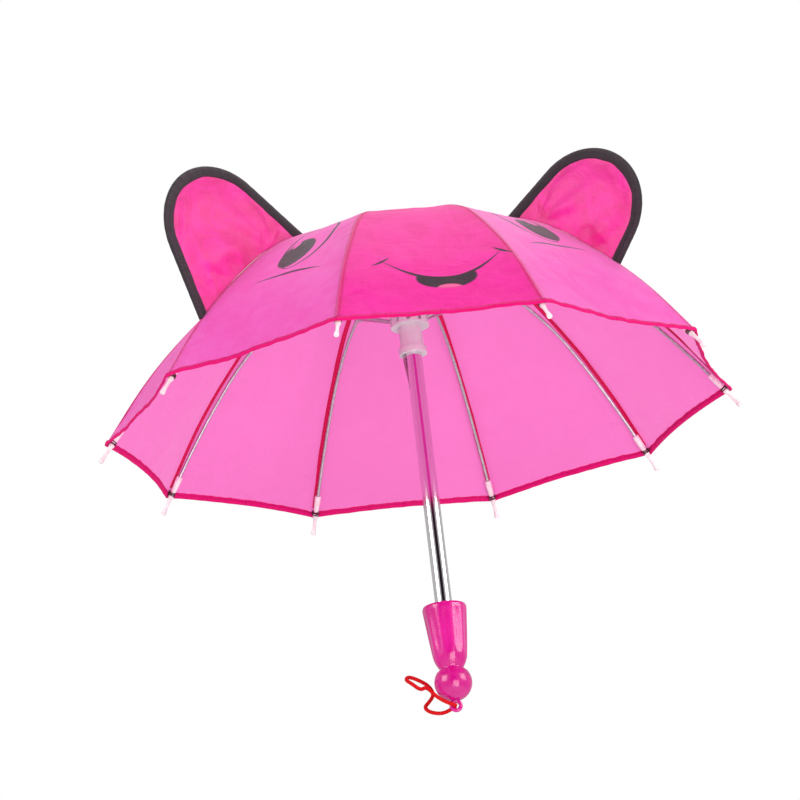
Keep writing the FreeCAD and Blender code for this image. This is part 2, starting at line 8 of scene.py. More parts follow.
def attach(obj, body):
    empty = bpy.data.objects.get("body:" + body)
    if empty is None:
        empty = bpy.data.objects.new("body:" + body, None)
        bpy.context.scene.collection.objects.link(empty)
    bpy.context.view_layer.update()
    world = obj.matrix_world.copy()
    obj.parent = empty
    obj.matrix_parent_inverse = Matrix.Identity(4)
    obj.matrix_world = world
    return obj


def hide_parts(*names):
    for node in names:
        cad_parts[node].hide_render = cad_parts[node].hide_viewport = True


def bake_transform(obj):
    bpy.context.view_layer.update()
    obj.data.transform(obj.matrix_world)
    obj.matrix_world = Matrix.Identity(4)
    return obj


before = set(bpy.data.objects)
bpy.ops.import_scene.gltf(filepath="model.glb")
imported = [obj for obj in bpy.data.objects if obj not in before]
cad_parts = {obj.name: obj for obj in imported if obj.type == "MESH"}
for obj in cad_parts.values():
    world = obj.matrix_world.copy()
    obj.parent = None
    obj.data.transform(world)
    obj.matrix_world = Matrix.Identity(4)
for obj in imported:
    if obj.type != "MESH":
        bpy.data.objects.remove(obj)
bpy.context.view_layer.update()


# ---- Shaft tube: a thin steel tube, drawn and nickel plated, 8 mm across ----
# It is pushed into the handle at its foot and carries the crown at its top. Plating is bright, with
# fine draw lines along the tube and faint smears where the runner slides.

MM = 0.001


def finish(name, colour, roughness, metallic=0.0):
    """A material with one Principled shader. Returns the material, its node tree and the shader."""
    material = bpy.data.materials.new(name)
    material.use_nodes = True
    shader = material.node_tree.nodes["Principled BSDF"]
    adjust(shader, {"Base Color": (*colour, 1), "Roughness": roughness, "Metallic": metallic})
    return material, material.node_tree, shader


def adjust(shader, values):
    """Set some of a shader's sockets."""
    for name, value in values.items():
        shader.inputs[name].default_value = value


def node(tree, kind, sockets=None, **properties):
    """Add a shader node, set its properties, and fill or link its sockets."""
    made = tree.nodes.new("ShaderNode" + kind)
    for name, value in properties.items():
        setattr(made, name, value)
    for name, value in (sockets or {}).items():
        if isinstance(value, bpy.types.NodeSocket):
            tree.links.new(value, made.inputs[name])
        else:
            made.inputs[name].default_value = value
    return made


def calc(tree, operation, *values):
    """One Math node's result."""
    return node(tree, "Math", dict(enumerate(values)), operation=operation).outputs[0]


def times(tree, first, second):
    """One Math node's product."""
    return calc(tree, "MULTIPLY", first, second)


def plus(tree, first, second):
    """One Math node's sum."""
    return calc(tree, "ADD", first, second)


def blended(tree, share, first, second):
    """A colour between two, each a socket or a (red, green, blue)."""
    first, second = [colour if isinstance(colour, bpy.types.NodeSocket) else (*colour, 1)
                     for colour in (first, second)]
    return node(tree, "Mix", {0: share, 6: first, 7: second}, data_type="RGBA").outputs[2]


def stepped(tree, value, low, high):
    """0 below low and 1 above high, eased between."""
    sockets = {"Value": value, "From Min": low, "From Max": high}
    return node(tree, "MapRange", sockets, interpolation_type="SMOOTHSTEP").outputs[0]


def falling(tree, value, low, high):
    """1 below low and 0 above high, eased between."""
    return calc(tree, "SUBTRACT", 1.0, stepped(tree, value, low, high))


def effect_group(name, inputs, outputs):
    """An empty shader node group with float or vector sockets, and its two end nodes."""
    tree = bpy.data.node_groups.new(name, "ShaderNodeTree")
    for words, way in ((inputs, "INPUT"), (outputs, "OUTPUT")):
        for label, kind in words.items():
            tree.interface.new_socket(name=label, in_out=way, socket_type="NodeSocket" + kind)
    return tree, tree.nodes.new("NodeGroupInput"), tree.nodes.new("NodeGroupOutput")


def placed(tree, group, sockets):
    """A node group placed in a material."""
    return node(tree, "Group", sockets, node_tree=group)


def bumped(tree, shader, height, distance):
    """Feed a height, in metres times distance, to a shader's normal."""
    bump = node(tree, "Bump", {"Height": height, "Distance": distance, "Strength": 1.0})
    tree.links.new(bump.outputs[0], shader.inputs["Normal"])


# Handling: smears that change how glossy a surface is, and hairline scratches.
handled, way_in, way_out = effect_group(
    "handled", {"Position": "Vector", "Gloss": "Float", "Spread": "Float", "Smears": "Float"},
    {"Roughness": "Float", "Height": "Float"},
)
MEAN_SMEAR, HAIRLINES = 0.45, 2600.0
position = way_in.outputs["Position"]
smear = node(handled, "TexNoise", {"Vector": position, "Scale": way_in.outputs["Smears"],
                                   "Detail": 4.0, "Roughness": 0.6})
hair = node(handled, "TexNoise", {"Vector": position, "Scale": HAIRLINES, "Detail": 2.0})
uneven = calc(handled, "SUBTRACT", smear.outputs[0], MEAN_SMEAR)
spread = times(handled, uneven, way_in.outputs["Spread"])
gloss = plus(handled, way_in.outputs["Gloss"], spread)
handled.links.new(gloss, way_out.inputs["Roughness"])
handled.links.new(hair.outputs[0], way_out.inputs["Height"])


def wear(tree, shader, gloss, spread, smears, stretch=(1, 1, 1), depth=0.000004):
    """Give a shader the handled look, in Object coordinates stretched along a draw direction."""
    where = node(tree, "TexCoord").outputs["Object"]
    where = node(tree, "Mapping", {"Vector": where, "Scale": stretch}).outputs[0]
    marks = placed(tree, handled, {"Position": where, "Gloss": gloss, "Spread": spread,
                                   "Smears": smears})
    tree.links.new(marks.outputs["Roughness"], shader.inputs["Roughness"])
    bumped(tree, shader, marks.outputs["Height"], depth)
    return where


def painted(tree, shader, colour):
    """Feed a colour to a shader."""
    tree.links.new(colour, shader.inputs["Base Color"])


def mottled(tree, shader, where, scale, detail, low, high, first, second):
    """Vary a shader's colour between two, by noise that turns from one to the other."""
    shade = node(tree, "TexNoise", {"Vector": where, "Scale": scale, "Detail": detail})
    tint = blended(tree, stepped(tree, shade.outputs[0], low, high), first, second)
    painted(tree, shader, tint)


def dress(name, material):
    """Give a CAD node its finish."""
    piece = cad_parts[name]
    piece.data.materials.clear()
    piece.data.materials.append(material)


chrome, tree, shader = finish("bright_plating", (0.80, 0.78, 0.80), 0.08, 1.0)
wear(tree, shader, 0.09, 0.12, 60.0, stretch=(1, 1, 0.03), depth=0.000002)
dress("shaft_tube", chrome)


# ---- Spring catch: a folded leaf of spring steel in the tube's slot ----
# Pressed in with a thumb it lets the runner pass, and it holds the runner up when it springs out.

spring_steel, tree, shader = finish("spring_steel", (0.46, 0.38, 0.40), 0.3, 1.0)
wear(tree, shader, 0.3, 0.25, 300.0, stretch=(1, 1, 0.1))
dress("catch_spring", spring_steel)


# ---- Handle: one hollow moulding of glossy pink plastic ----
# A tapered grip with ten soft flutes, a rounded shoulder, a neck and a ball, with a small lug
# under the ball for the cord. The tube is pressed into its socket.

# The grip's outline, radius and height in millimetres, from the socket's floor to the neck.
GRIP_PROFILE = [
    (0, -6.2), (4.05, -6.2), (4.05, 11.8), (4.5, 12.35), (5.6, 12.6), (8.8, 12.6), (9.9, 12.2),
    (10.4, 11.2), (10.3, 9.4), (9.85, 5.0), (9.4, 0.4), (8.95, -4.0), (8.5, -8.2), (8.1, -11.6),
    (7.75, -13.4), (7.1, -15.2), (6.3, -16.7), (5.75, -17.6), (5.65, -18.1), (5.95, -18.5),
]
HANDLE_STEPS = 120
BALL_DROP, BALL_RADIUS, BALL_STEPS = -24.7, 8.85, 14
NECK_ANGLE = 46  # degrees from the ball's top to where the neck leaves it
LUG_DROP, LUG_RADIUS, LUG_WIRE = -35.75, 2.2, 0.95
FLUTES, FLUTE_DEPTH, FLUTE_FOOT, FLUTE_TOP = 10, 0.5, -12.0, 11.5
FLUTE_FADE, FLUTE_TURN, FLUTE_INSIDE = 3.5, 1.1, 7
WELD = 0.000002


def spun(mesh, profile, steps):
    """Spin a profile of (radius, height) in millimetres about Z, and close its seam and poles."""
    points = [mesh.verts.new((radius * MM, 0, height * MM)) for radius, height in profile]
    edges = [mesh.edges.new(pair) for pair in zip(points, points[1:])]
    bmesh.ops.spin(mesh, geom=points + edges, cent=(0, 0, 0), axis=(0, 0, 1), angle=math.tau,
                   steps=steps, use_merge=True)
    bmesh.ops.remove_doubles(mesh, verts=mesh.verts[:], dist=WELD)
    bmesh.ops.recalc_face_normals(mesh, faces=mesh.faces[:])


def moved(mesh, matrix):
    """Turn and move a whole mesh."""
    bmesh.ops.transform(mesh, verts=mesh.verts[:], matrix=matrix)


def ring(mesh, centre, axis_turn, radius, wire, steps=32, sides=12):
    """Add a torus in millimetres, its axis along Z before it is turned and moved."""
    torus = bmesh.new()
    bmesh.ops.create_circle(torus, segments=sides, radius=wire * MM)
    bmesh.ops.rotate(torus, verts=torus.verts[:], cent=(0, 0, 0),
                     matrix=Matrix.Rotation(math.pi / 2, 3, "X"))
    bmesh.ops.translate(torus, verts=torus.verts[:], vec=(radius * MM, 0, 0))
    bmesh.ops.spin(torus, geom=torus.verts[:] + torus.edges[:], cent=(0, 0, 0), axis=(0, 0, 1),
                   angle=math.tau, steps=steps, use_merge=True)
    bmesh.ops.remove_doubles(torus, verts=torus.verts[:], dist=WELD)
    bmesh.ops.recalc_face_normals(torus, faces=torus.faces[:])
    moved(torus, Matrix.Translation(Vector(centre) * MM) @ axis_turn)
    data = bpy.data.meshes.new("ring")
    torus.to_mesh(data)
    torus.free()
    mesh.from_mesh(data)
    bpy.data.meshes.remove(data)


def piece_of(name, mesh, *materials, smooth=True):
    """Make an object of a bmesh, at the origin, with its finishes."""
    data = bpy.data.meshes.new(name)
    mesh.to_mesh(data)
    mesh.free()
    for material in materials:
        data.materials.append(material)
    data.polygons.foreach_set("use_smooth", [smooth] * len(data.polygons))
    piece = bpy.data.objects.new(name, data)
    bpy.context.scene.collection.objects.link(piece)
    return piece


ball = []
for step in range(1, BALL_STEPS + 1):
    turn = math.radians(NECK_ANGLE + (180 - NECK_ANGLE) * step / BALL_STEPS)
    ball.append((BALL_RADIUS * math.sin(turn), BALL_DROP + BALL_RADIUS * math.cos(turn)))
ball[-1] = (0, ball[-1][1])
mesh = bmesh.new()
spun(mesh, GRIP_PROFILE + ball, HANDLE_STEPS)
for point in mesh.verts:
    radius = math.hypot(point.co.x, point.co.y) / MM
    height = point.co.z / MM
    if radius > FLUTE_INSIDE and FLUTE_FOOT < height < FLUTE_TOP:
        ends = min(height - FLUTE_FOOT, FLUTE_TOP - height) / FLUTE_FADE
        wave = 0.5 + 0.5 * math.cos(FLUTES * math.atan2(point.co.y, point.co.x) + FLUTE_TURN)
        inset = FLUTE_DEPTH * (1 - wave) * min(1, ends)
        point.co.x *= 1 - inset / radius
        point.co.y *= 1 - inset / radius
ring(mesh, (0, 0, LUG_DROP), Matrix.Rotation(math.pi / 2, 4, "X"), LUG_RADIUS, LUG_WIRE)

pink_plastic, tree, shader = finish("glossy_pink_plastic", (0.70, 0.016, 0.30), 0.22)
where = wear(tree, shader, 0.2, 0.16, 90.0)
mottled(tree, shader, where, 45.0, 2.0, 0.3, 0.7, (0.54, 0.004, 0.20), (0.66, 0.009, 0.27))
adjust(shader, {"Subsurface Weight": 0.25, "Subsurface Radius": (1.0, 0.35, 0.6),
                "Subsurface Scale": 0.002, "Coat Weight": 0.2, "Coat Roughness": 0.1})
handle = piece_of("fluted_handle", mesh, pink_plastic)
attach(handle, "shaft")
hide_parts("handle")


# ---- Wrist cord: a round braided cord, threaded through the lug and knotted on itself ----
# It is a limp loop, shorter than a hand, crumpled beside the ball.

# The cord's route in millimetres from the lug's centre, out of one side and back in at the other.
CORD_ROUTE = [
    (0, -0.6, 0), (-4, -3.5, 0.8), (-9.2, -3.8, 4.4), (-12.8, -3, 9.6), (-15.9, -3.6, 8),
    (-19.4, -2.4, 11.8), (-22, -0.4, 14.4), (-20.4, 1.6, 16.4), (-15.8, 3.2, 14.8),
    (-10.8, 5.6, 12), (-8.8, 7.8, 8.2), (-11.6, 6.6, 4.6), (-14.4, 4.4, 1.8),
    (-12.4, 2.8, -1.2), (-7, 1.8, -2.8), (-2.6, 1.4, -1.4), (0, 0.6, 0),
]
CORD_DIAMETER, CORD_LENGTH = 1.8, 73.2
BRAID_ALONG, BRAID_ROUND = 430.0, 18.85

curve = bpy.data.curves.new("wrist_loop", "CURVE")
curve.dimensions = "3D"
spline = curve.splines.new("NURBS")
spline.points.add(len(CORD_ROUTE) - 1)
for point, (x, y, z) in zip(spline.points, CORD_ROUTE):
    point.co = (x * MM, y * MM, (z + LUG_DROP) * MM, 1)
spline.order_u = 3
spline.use_endpoint_u = True
spline.resolution_u = 12
curve.bevel_depth = CORD_DIAMETER / 2 * MM
curve.bevel_resolution = 4
curve.use_fill_caps = True
red_braid, tree, shader = finish("red_braid", (0.72, 0.008, 0.012), 0.7)
along = node(tree, "SeparateXYZ", {0: node(tree, "TexCoord").outputs["UV"]})
length = times(tree, along.outputs[0], BRAID_ALONG)
girth = times(tree, along.outputs[1], BRAID_ROUND)
one = calc(tree, "SINE", plus(tree, length, girth))
other = calc(tree, "SINE", calc(tree, "SUBTRACT", length, girth))
strand = calc(tree, "MAXIMUM", one, other)
# Painted shade: the cord's red is darkened in the grooves between the braid's strands.
raised = stepped(tree, strand, -0.1, 0.9)
braid_groove_shade = blended(tree, raised, (0.40, 0.0005, 0.002), (0.82, 0.001, 0.006))
painted(tree, shader, braid_groove_shade)
adjust(shader, {"Specular IOR Level": 0.2})
bumped(tree, shader, strand, 0.00012)
curve.materials.append(red_braid)
cord = bpy.data.objects.new("wrist_loop", curve)
bpy.context.scene.collection.objects.link(cord)
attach(cord, "shaft")
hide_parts("wrist_cord")


# ---- Crown and runner: two turned and slotted mouldings of milky plastic ----
# The ribs' bent ends turn in the crown's slots, and the stretchers' bent ends in the runner's. The
# plastic lets light in, so the plated tube shows through it as a darker band.

milky, tree, shader = finish("milky_plastic", (0.93, 0.82, 0.88), 0.32)
where = wear(tree, shader, 0.3, 0.15, 160.0)
mottled(tree, shader, where, 220.0, 3.0, 0.3, 0.75, (0.95, 0.80, 0.87), (0.96, 0.90, 0.93))
adjust(shader, {"Transmission Weight": 0.35, "IOR": 1.45, "Subsurface Weight": 0.3,
                "Subsurface Radius": (1.0, 0.7, 0.8), "Subsurface Scale": 0.002})
for name in ("crown", "runner"):
    dress(name, milky)


# ---- Washer and ferrule: the pink cap that clamps the cloth on the crown ----
# The washer lies on the cloth. The ferrule's plug goes down into the tube, and its pin stands up.

dress("canopy_washer", pink_plastic)
dress("ferrule", pink_plastic)


# ---- Ribs and stretchers: hard-drawn steel wire with a dull zinc finish ----
# Each rib bows out from the crown to the hem. A stretcher props it at two fifths of its length.

RIBS = 10
RIB_NUMBERS = range(1, RIBS + 1)

wire, tree, shader = finish("zinc_wire", (0.42, 0.40, 0.41), 0.34, 1.0)
where = wear(tree, shader, 0.34, 0.3, 350.0)
mottled(tree, shader, where, 700.0, 3.0, 0.35, 0.7, (0.46, 0.42, 0.44), (0.60, 0.56, 0.58))
for number in RIB_NUMBERS:
    dress(f"rib_{number:02d}", wire)
    dress(f"stretcher_{number:02d}", wire)


# ---- Rib tips: small mouldings of white plastic, one pushed on each rib's end ----
# A sleeve takes the wire, a sewing eye takes the thread at the hem's corner, and a slim tail with a
# flared end stays out. A few turns of dark thread tie each one to the cloth.

FIRST_RIB = -108  # degrees
RIB_TURNS = [math.radians(360 // RIBS * step + FIRST_RIB) for step in range(RIBS)]
TIP_OUT, TIP_UP, TIP_SLOPE = 140.6, 114.405, math.radians(53.269)
# Radius, and distance along the tip from the sleeve's mouth to the flared end.
TIP_PROFILE = [
    (0.83, 0.5), (0.95, 0), (1.3, 0.02), (1.52, 0.3), (1.55, 1.2), (1.5, 4.5), (1.35, 7.2),
    (1.18, 8.6), (1.22, 9.4), (1.42, 10.1), (1.5, 10.6), (1.38, 11.3), (1.02, 12.2),
    (0.86, 13.4), (0.8, 15.4), (0.82, 17.2), (1.05, 18.4), (1.2, 19.4), (1.22, 20.2),
    (1.05, 20.62), (0, 20.7),
]
EYE_ALONG, EYE_RADIUS, EYE_WIRE = 10.4, 1.15, 0.42
# The thread: five turns round the sleeve from TIE_ALONG on, and three through the eye.
THREAD_WIRE, TIE_ALONG, TIE_PITCH, TIE_RADIUS = 0.2, 8.6, 0.42, 1.5
LOOP_ALONG, LOOP_RADIUS, LOOP_PITCH = 9.6, 1.35, 0.3


def in_rib_plane(number):
    """Turns X and Z of a rib's own plane into place for that rib."""
    return Matrix.Rotation(RIB_TURNS[number - 1], 4, "Z")


tip_place = Matrix.Translation(Vector((TIP_OUT, 0, TIP_UP)) * MM)
tip_place = tip_place @ Matrix.Rotation(math.pi / 2 + TIP_SLOPE, 4, "Y")

white_tip, tree, shader = finish("white_tip_plastic", (0.92, 0.86, 0.88), 0.25)
where = wear(tree, shader, 0.25, 0.15, 500.0)
mottled(tree, shader, where, 400.0, 2.0, 0.3, 0.7, (0.90, 0.66, 0.73), (0.94, 0.80, 0.82))
adjust(shader, {"Subsurface Weight": 0.1, "Subsurface Radius": (1.0, 0.8, 0.85),
                "Subsurface Scale": 0.0008})

dark_thread, tree, shader = finish("dark_sewing_thread", (0.075, 0.004, 0.016), 0.75)
where = node(tree, "TexCoord").outputs["Object"]
fuzz = node(tree, "TexNoise", {"Vector": where, "Scale": 5200.0})
lay = blended(tree, fuzz.outputs[0], (0.03, 0.002, 0.008), (0.16, 0.01, 0.04))
painted(tree, shader, lay)
bumped(tree, shader, fuzz.outputs[0], 0.00005)

for number in RIB_NUMBERS:
    mesh = bmesh.new()
    spun(mesh, TIP_PROFILE, 28)
    crosswise = Matrix.Rotation(math.pi / 2, 4, "X")
    ring(mesh, (0, 0, EYE_ALONG), crosswise, EYE_RADIUS, EYE_WIRE, steps=20, sides=8)
    moved(mesh, in_rib_plane(number) @ tip_place)
    tip = piece_of(f"moulded_tip_{number:02d}", mesh, white_tip)
    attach(tip, f"rib_{number:02d}")
    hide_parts(f"rib_tip_{number:02d}")

    mesh = bmesh.new()
    for turn in range(5):
        tilt = Matrix.Rotation(math.radians(14 * math.sin(2.3 * turn + number)), 4, "X")
        along = TIE_ALONG + TIE_PITCH * turn
        ring(mesh, (0, 0, along), tilt, TIE_RADIUS, THREAD_WIRE, steps=16, sides=6)
    for turn in range(3):
        tilt = Matrix.Rotation(math.radians(76 + 12 * turn), 4, "Y")
        tilt = tilt @ Matrix.Rotation(0.5 * turn + number, 4, "Z")
        beside = LOOP_PITCH * turn - LOOP_PITCH
        centre = (-TIE_RADIUS, beside, LOOP_ALONG)
        ring(mesh, centre, tilt, LOOP_RADIUS, THREAD_WIRE, steps=16, sides=6)
    moved(mesh, in_rib_plane(number) @ tip_place)
    tie = piece_of(f"tip_tie_{number:02d}", mesh, dark_thread)
    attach(tie, f"rib_{number:02d}")


# ---- Canopy: ten gores of thin pink taffeta, sewn edge to edge over the ribs ----
# Each gore is shown as its two halves, because each half hangs on its own rib and gathers in beside
# it when the umbrella shuts. The cloth is pulled tight from the crown to the tips, and draws in
# between the ribs. The front gores carry a simple printed face.

RIM, REACH = 106, 150
HALF_STEP = math.radians(180 / RIBS)
CLOTH_START = 6.2
# The cloth's line over a rib: distance from the shaft, and height above the hem's corners.
PROFILE_OUT = [0, 43.05, 73.95, 96, 124.95, 150]
PROFILE_UP = [92.5, 89.31, 78.16, 61.98, 33.49, 0]
HEM_LEAN = 1.04  # how much steeper the line is at the hem than its last stretch
SAG, SCALLOP = 2.8, 2.2
ALONG, ACROSS = 72, 28
CROWDING = 0.9  # below 1 sets the rows closer together towards the hem


def profile_slope(index):
    """How the cloth's line over a rib leans at one of its measured points."""
    if index == 0:
        return 0.0
    last = len(PROFILE_OUT) - 1
    before, after = index - 1, min(index + 1, last)
    lean = (PROFILE_UP[after] - PROFILE_UP[before]) / (PROFILE_OUT[after] - PROFILE_OUT[before])
    return lean * (HEM_LEAN if index == last else 1.0)


def cloth_height(radius):
    """Height of the cloth over a rib: one smooth line from the crown to the hem's corner."""
    index = max(i for i, out in enumerate(PROFILE_OUT[:-1]) if out <= max(radius, 0))
    run = PROFILE_OUT[index + 1] - PROFILE_OUT[index]
    t = (radius - PROFILE_OUT[index]) / run
    start, end = PROFILE_UP[index], PROFILE_UP[index + 1]
    lean, next_lean = profile_slope(index) * run, profile_slope(index + 1) * run
    height = (2 * t**3 - 3 * t**2 + 1) * start + (t**3 - 2 * t**2 + t) * lean
    return RIM + height + (3 * t**2 - 2 * t**3) * end + (t**3 - t**2) * next_lean


CLOTH_STEPS = 300
cloth_run = [0.0]
for step in range(CLOTH_STEPS):
    inner, outer = REACH * step / CLOTH_STEPS, REACH * (step + 1) / CLOTH_STEPS
    rise = cloth_height(outer) - cloth_height(inner)
    cloth_run.append(cloth_run[-1] + math.hypot(outer - inner, rise))


def from_hem(radius):
    """Distance along the cloth from the hem up to a radius."""
    place = radius / REACH * CLOTH_STEPS
    index = min(int(place), CLOTH_STEPS - 1)
    reached = cloth_run[index] + (cloth_run[index + 1] - cloth_run[index]) * (place - index)
    return cloth_run[-1] - reached


def cloth_place(radius, across, side):
    """A point of a half gore in its rib's frame, with the ways out of the cloth and to the hem.

    across is 0 at the rib and 1 in the middle of the gore; side is +1 or -1."""
    fall = cloth_height(radius + 0.5) - cloth_height(radius - 0.5)
    cosine, sine = math.cos(HALF_STEP), math.sin(HALF_STEP)
    middle = Vector((cosine, side * sine, 0))
    run = middle * cosine
    length = math.hypot(cosine, fall)
    hemward = (run + Vector((0, 0, fall))) / length
    outward = (Vector((0, 0, cosine)) - middle * fall) / length
    seam_outward = Vector((-fall, 0, 1)).normalized()
    share = radius / REACH
    drawn = 1 - (1 - across) ** 2
    point = Vector((radius, 0, cloth_height(radius))) * (1 - across)
    point += (run * radius + Vector((0, 0, cloth_height(radius)))) * across
    point -= outward * (SAG * share**2 * drawn) + hemward * (SCALLOP * share**6 * drawn)
    return point, seam_outward.lerp(outward, min(1, across * 1.2)).normalized(), hemward


# Heights of the creases in millimetres, and how far each kind reaches from where it starts.
SOFT_WAVE, FINE_WAVE, PUCKER, TUCK, FOLD = 0.75, 0.28, 0.22, 0.14, 0.35
PUCKER_REACH, TUCK_REACH, FOLD_REACH, SEAM_GRIP = 4.5, 8, 42, 2.5
CALM_TO, CALM_FADE = 16, 30


def crease(gore, from_middle, up, off_seam, radius):
    """How far the cloth stands off its smooth shape: soft waves, then puckers at seams and hem."""
    calm = min(1, max(0, (radius - CALM_TO) / CALM_FADE))
    held = 1 - math.exp(-off_seam / SEAM_GRIP)
    spot = Vector((from_middle / 26, up / 40, gore * 7.3))
    soft = SOFT_WAVE * noise.noise(spot) + FINE_WAVE * noise.noise(spot * 3.1)
    drift = 2.2 * noise.noise(Vector((from_middle / 18, up / 14, gore * 3.1)))
    pucker = PUCKER * math.sin(up * 0.95 + drift * 2) * math.exp(-off_seam / PUCKER_REACH)
    tuck = TUCK * math.sin(from_middle * 0.62 + drift * 2.4) * math.exp(-up / TUCK_REACH)
    pull = abs(from_middle) / 44
    fold = FOLD * math.sin((up - 46) * 0.16 - pull * 4 + drift)
    return calm * held * (soft + pucker + tuck + fold * math.exp(-up / FOLD_REACH) * pull**2)


# Taffeta: warp and weft a third of a millimetre apart, with thicker slubs here and there.
taffeta, way_in, way_out = effect_group(
    "taffeta", {"Cloth": "Vector", "Thread": "Float"},
    {"Height": "Float", "Slub": "Float", "Crush": "Float"},
)
lying = way_in.outputs["Cloth"]
parts = node(taffeta, "SeparateXYZ", {0: lying})
pace = calc(taffeta, "DIVIDE", math.tau, way_in.outputs["Thread"])
weft = calc(taffeta, "SINE", times(taffeta, parts.outputs[0], pace))
warp = calc(taffeta, "SINE", times(taffeta, parts.outputs[1], pace))
threads = times(taffeta, weft, warp)
streaks = []
for stretch in ((0.9, 0.03, 1), (0.04, 1.1, 1)):
    spot = node(taffeta, "Mapping", {"Vector": lying, "Scale": stretch}).outputs[0]
    streak = node(taffeta, "TexNoise", {"Vector": spot, "Scale": 1.0, "Detail": 3.0})
    streaks.append(streak.outputs[0])
crush = node(taffeta, "TexNoise", {"Vector": lying, "Scale": 0.07, "Detail": 5.0,
                                   "Roughness": 0.6, "Distortion": 0.8})
taffeta.links.new(threads, way_out.inputs["Height"])
slub = times(taffeta, plus(taffeta, *streaks), 0.5)
taffeta.links.new(slub, way_out.inputs["Slub"])
taffeta.links.new(crush.outputs[0], way_out.inputs["Crush"])

# Stitching: a line of dashes a set distance off a seam.
stitching, way_in, way_out = effect_group(
    "stitching",
    {"Off": "Float", "Along": "Float", "Line": "Float", "Stitch": "Float", "Width": "Float"},
    {"Thread": "Float", "Dent": "Float"},
)
offset = calc(stitching, "SUBTRACT", way_in.outputs["Off"], way_in.outputs["Line"])
near = calc(stitching, "DIVIDE", calc(stitching, "ABSOLUTE", offset), way_in.outputs["Width"])
stitches = calc(stitching, "DIVIDE", way_in.outputs["Along"], way_in.outputs["Stitch"])
beat = calc(stitching, "FRACT", stitches)
dash = times(stitching, stepped(stitching, beat, 0.08, 0.2), falling(stitching, beat, 0.72, 0.84))
thread = times(stitching, falling(stitching, near, 0.7, 1.3), dash)
stitching.links.new(thread, way_out.inputs["Thread"])
stitching.links.new(falling(stitching, near, 0.6, 4.0), way_out.inputs["Dent"])


def oval(tree, cloth, centre, halves, turn=0.0, soft=0.05):
    """A filled oval of print, in millimetres from the middle of the gore and up from the hem."""
    local = node(tree, "Mapping", {"Vector": cloth, "Location": (*centre, 0), "Scale": (*halves, 1),
                                   "Rotation": (0, 0, turn)}, vector_type="TEXTURE")
    length = node(tree, "VectorMath", {0: local.outputs[0]}, operation="LENGTH").outputs["Value"]
    return falling(tree, length, 1 - soft, 1 + soft)


def stroke(tree, cloth, centre, half, thick, bend, turn=0.0):
    """A printed stroke that bends up at its ends and thins out, and the distance above its line."""
    local = node(tree, "Mapping", {"Vector": cloth, "Location": (*centre, 0),
                                   "Rotation": (0, 0, turn)}, vector_type="TEXTURE")
    spot = node(tree, "SeparateXYZ", {0: local.outputs[0]})
    squared = times(tree, spot.outputs[0], spot.outputs[0])
    off = calc(tree, "SUBTRACT", spot.outputs[1], times(tree, squared, bend))
    room = calc(tree, "SUBTRACT", thick, times(tree, squared, thick / half**2))
    inside = calc(tree, "SUBTRACT", room, calc(tree, "ABSOLUTE", off))
    return stepped(tree, inside, -0.12, 0.12), off


def smile_print(tree, cloth):
    """An open smile with ticks at its ends, and its tongue."""
    line, off = stroke(tree, cloth, (6.2, 28.2), 28.5, 1.5, 0.025)
    mouth = oval(tree, cloth, (6.5, 29.0), (13.8, 9.0))
    mouth = times(tree, mouth, falling(tree, off, -0.3, 0.3))
    tongue = oval(tree, cloth, (7.0, 20.4), (5.6, 2.6), soft=0.08)
    ink = calc(tree, "MAXIMUM", line, mouth)
    for centre, turn in (((-21.0, 46.0), 0.7), ((34.0, 46.0), -0.7)):
        tick = stroke(tree, cloth, centre, 6.0, 0.75, 0.02, turn=turn)[0]
        ink = calc(tree, "MAXIMUM", ink, tick)
    return ink, times(tree, tongue, mouth)


def eye_print(tree, cloth, centre, lean):
    """One eye: a dark pupil with a catch-light, a thin lid line round it and a line below."""
    def beside(aside, rise):
        """A place off the eye's centre, mirrored with its lean."""
        return centre[0] + aside * lean, centre[1] + rise

    pupil = oval(tree, cloth, centre, (8.4, 14.0), turn=-0.12 * lean)
    glint = oval(tree, cloth, beside(-3.4, 9.5), (1.5, 3.4), turn=-0.3 * lean, soft=0.12)
    outer = oval(tree, cloth, beside(4.0, 8.0), (12.4, 24.5), turn=-0.1 * lean, soft=0.012)
    inner = oval(tree, cloth, beside(3.7, 8.0), (11.0, 23.8), turn=-0.1 * lean, soft=0.012)
    lid = calc(tree, "SUBTRACT", outer, inner)
    line = stroke(tree, cloth, beside(4.5, -21.5), 20.5, 0.85, -0.008, turn=-0.13 * lean)[0]
    pupil = calc(tree, "SUBTRACT", pupil, glint)
    return calc(tree, "MAXIMUM", pupil, calc(tree, "MAXIMUM", lid, line)), 0.0


INK, TONGUE = (0.012, 0.006, 0.014), (0.92, 0.12, 0.34)
TAFFETA_THREAD, WEAVE_DEPTH = 0.34, 0.00012
SEEN_THROUGH = 0.42  # share of light that the thin cloth lets through
INK_COVER, INK_LOST_INSIDE = 0.93, 0.78


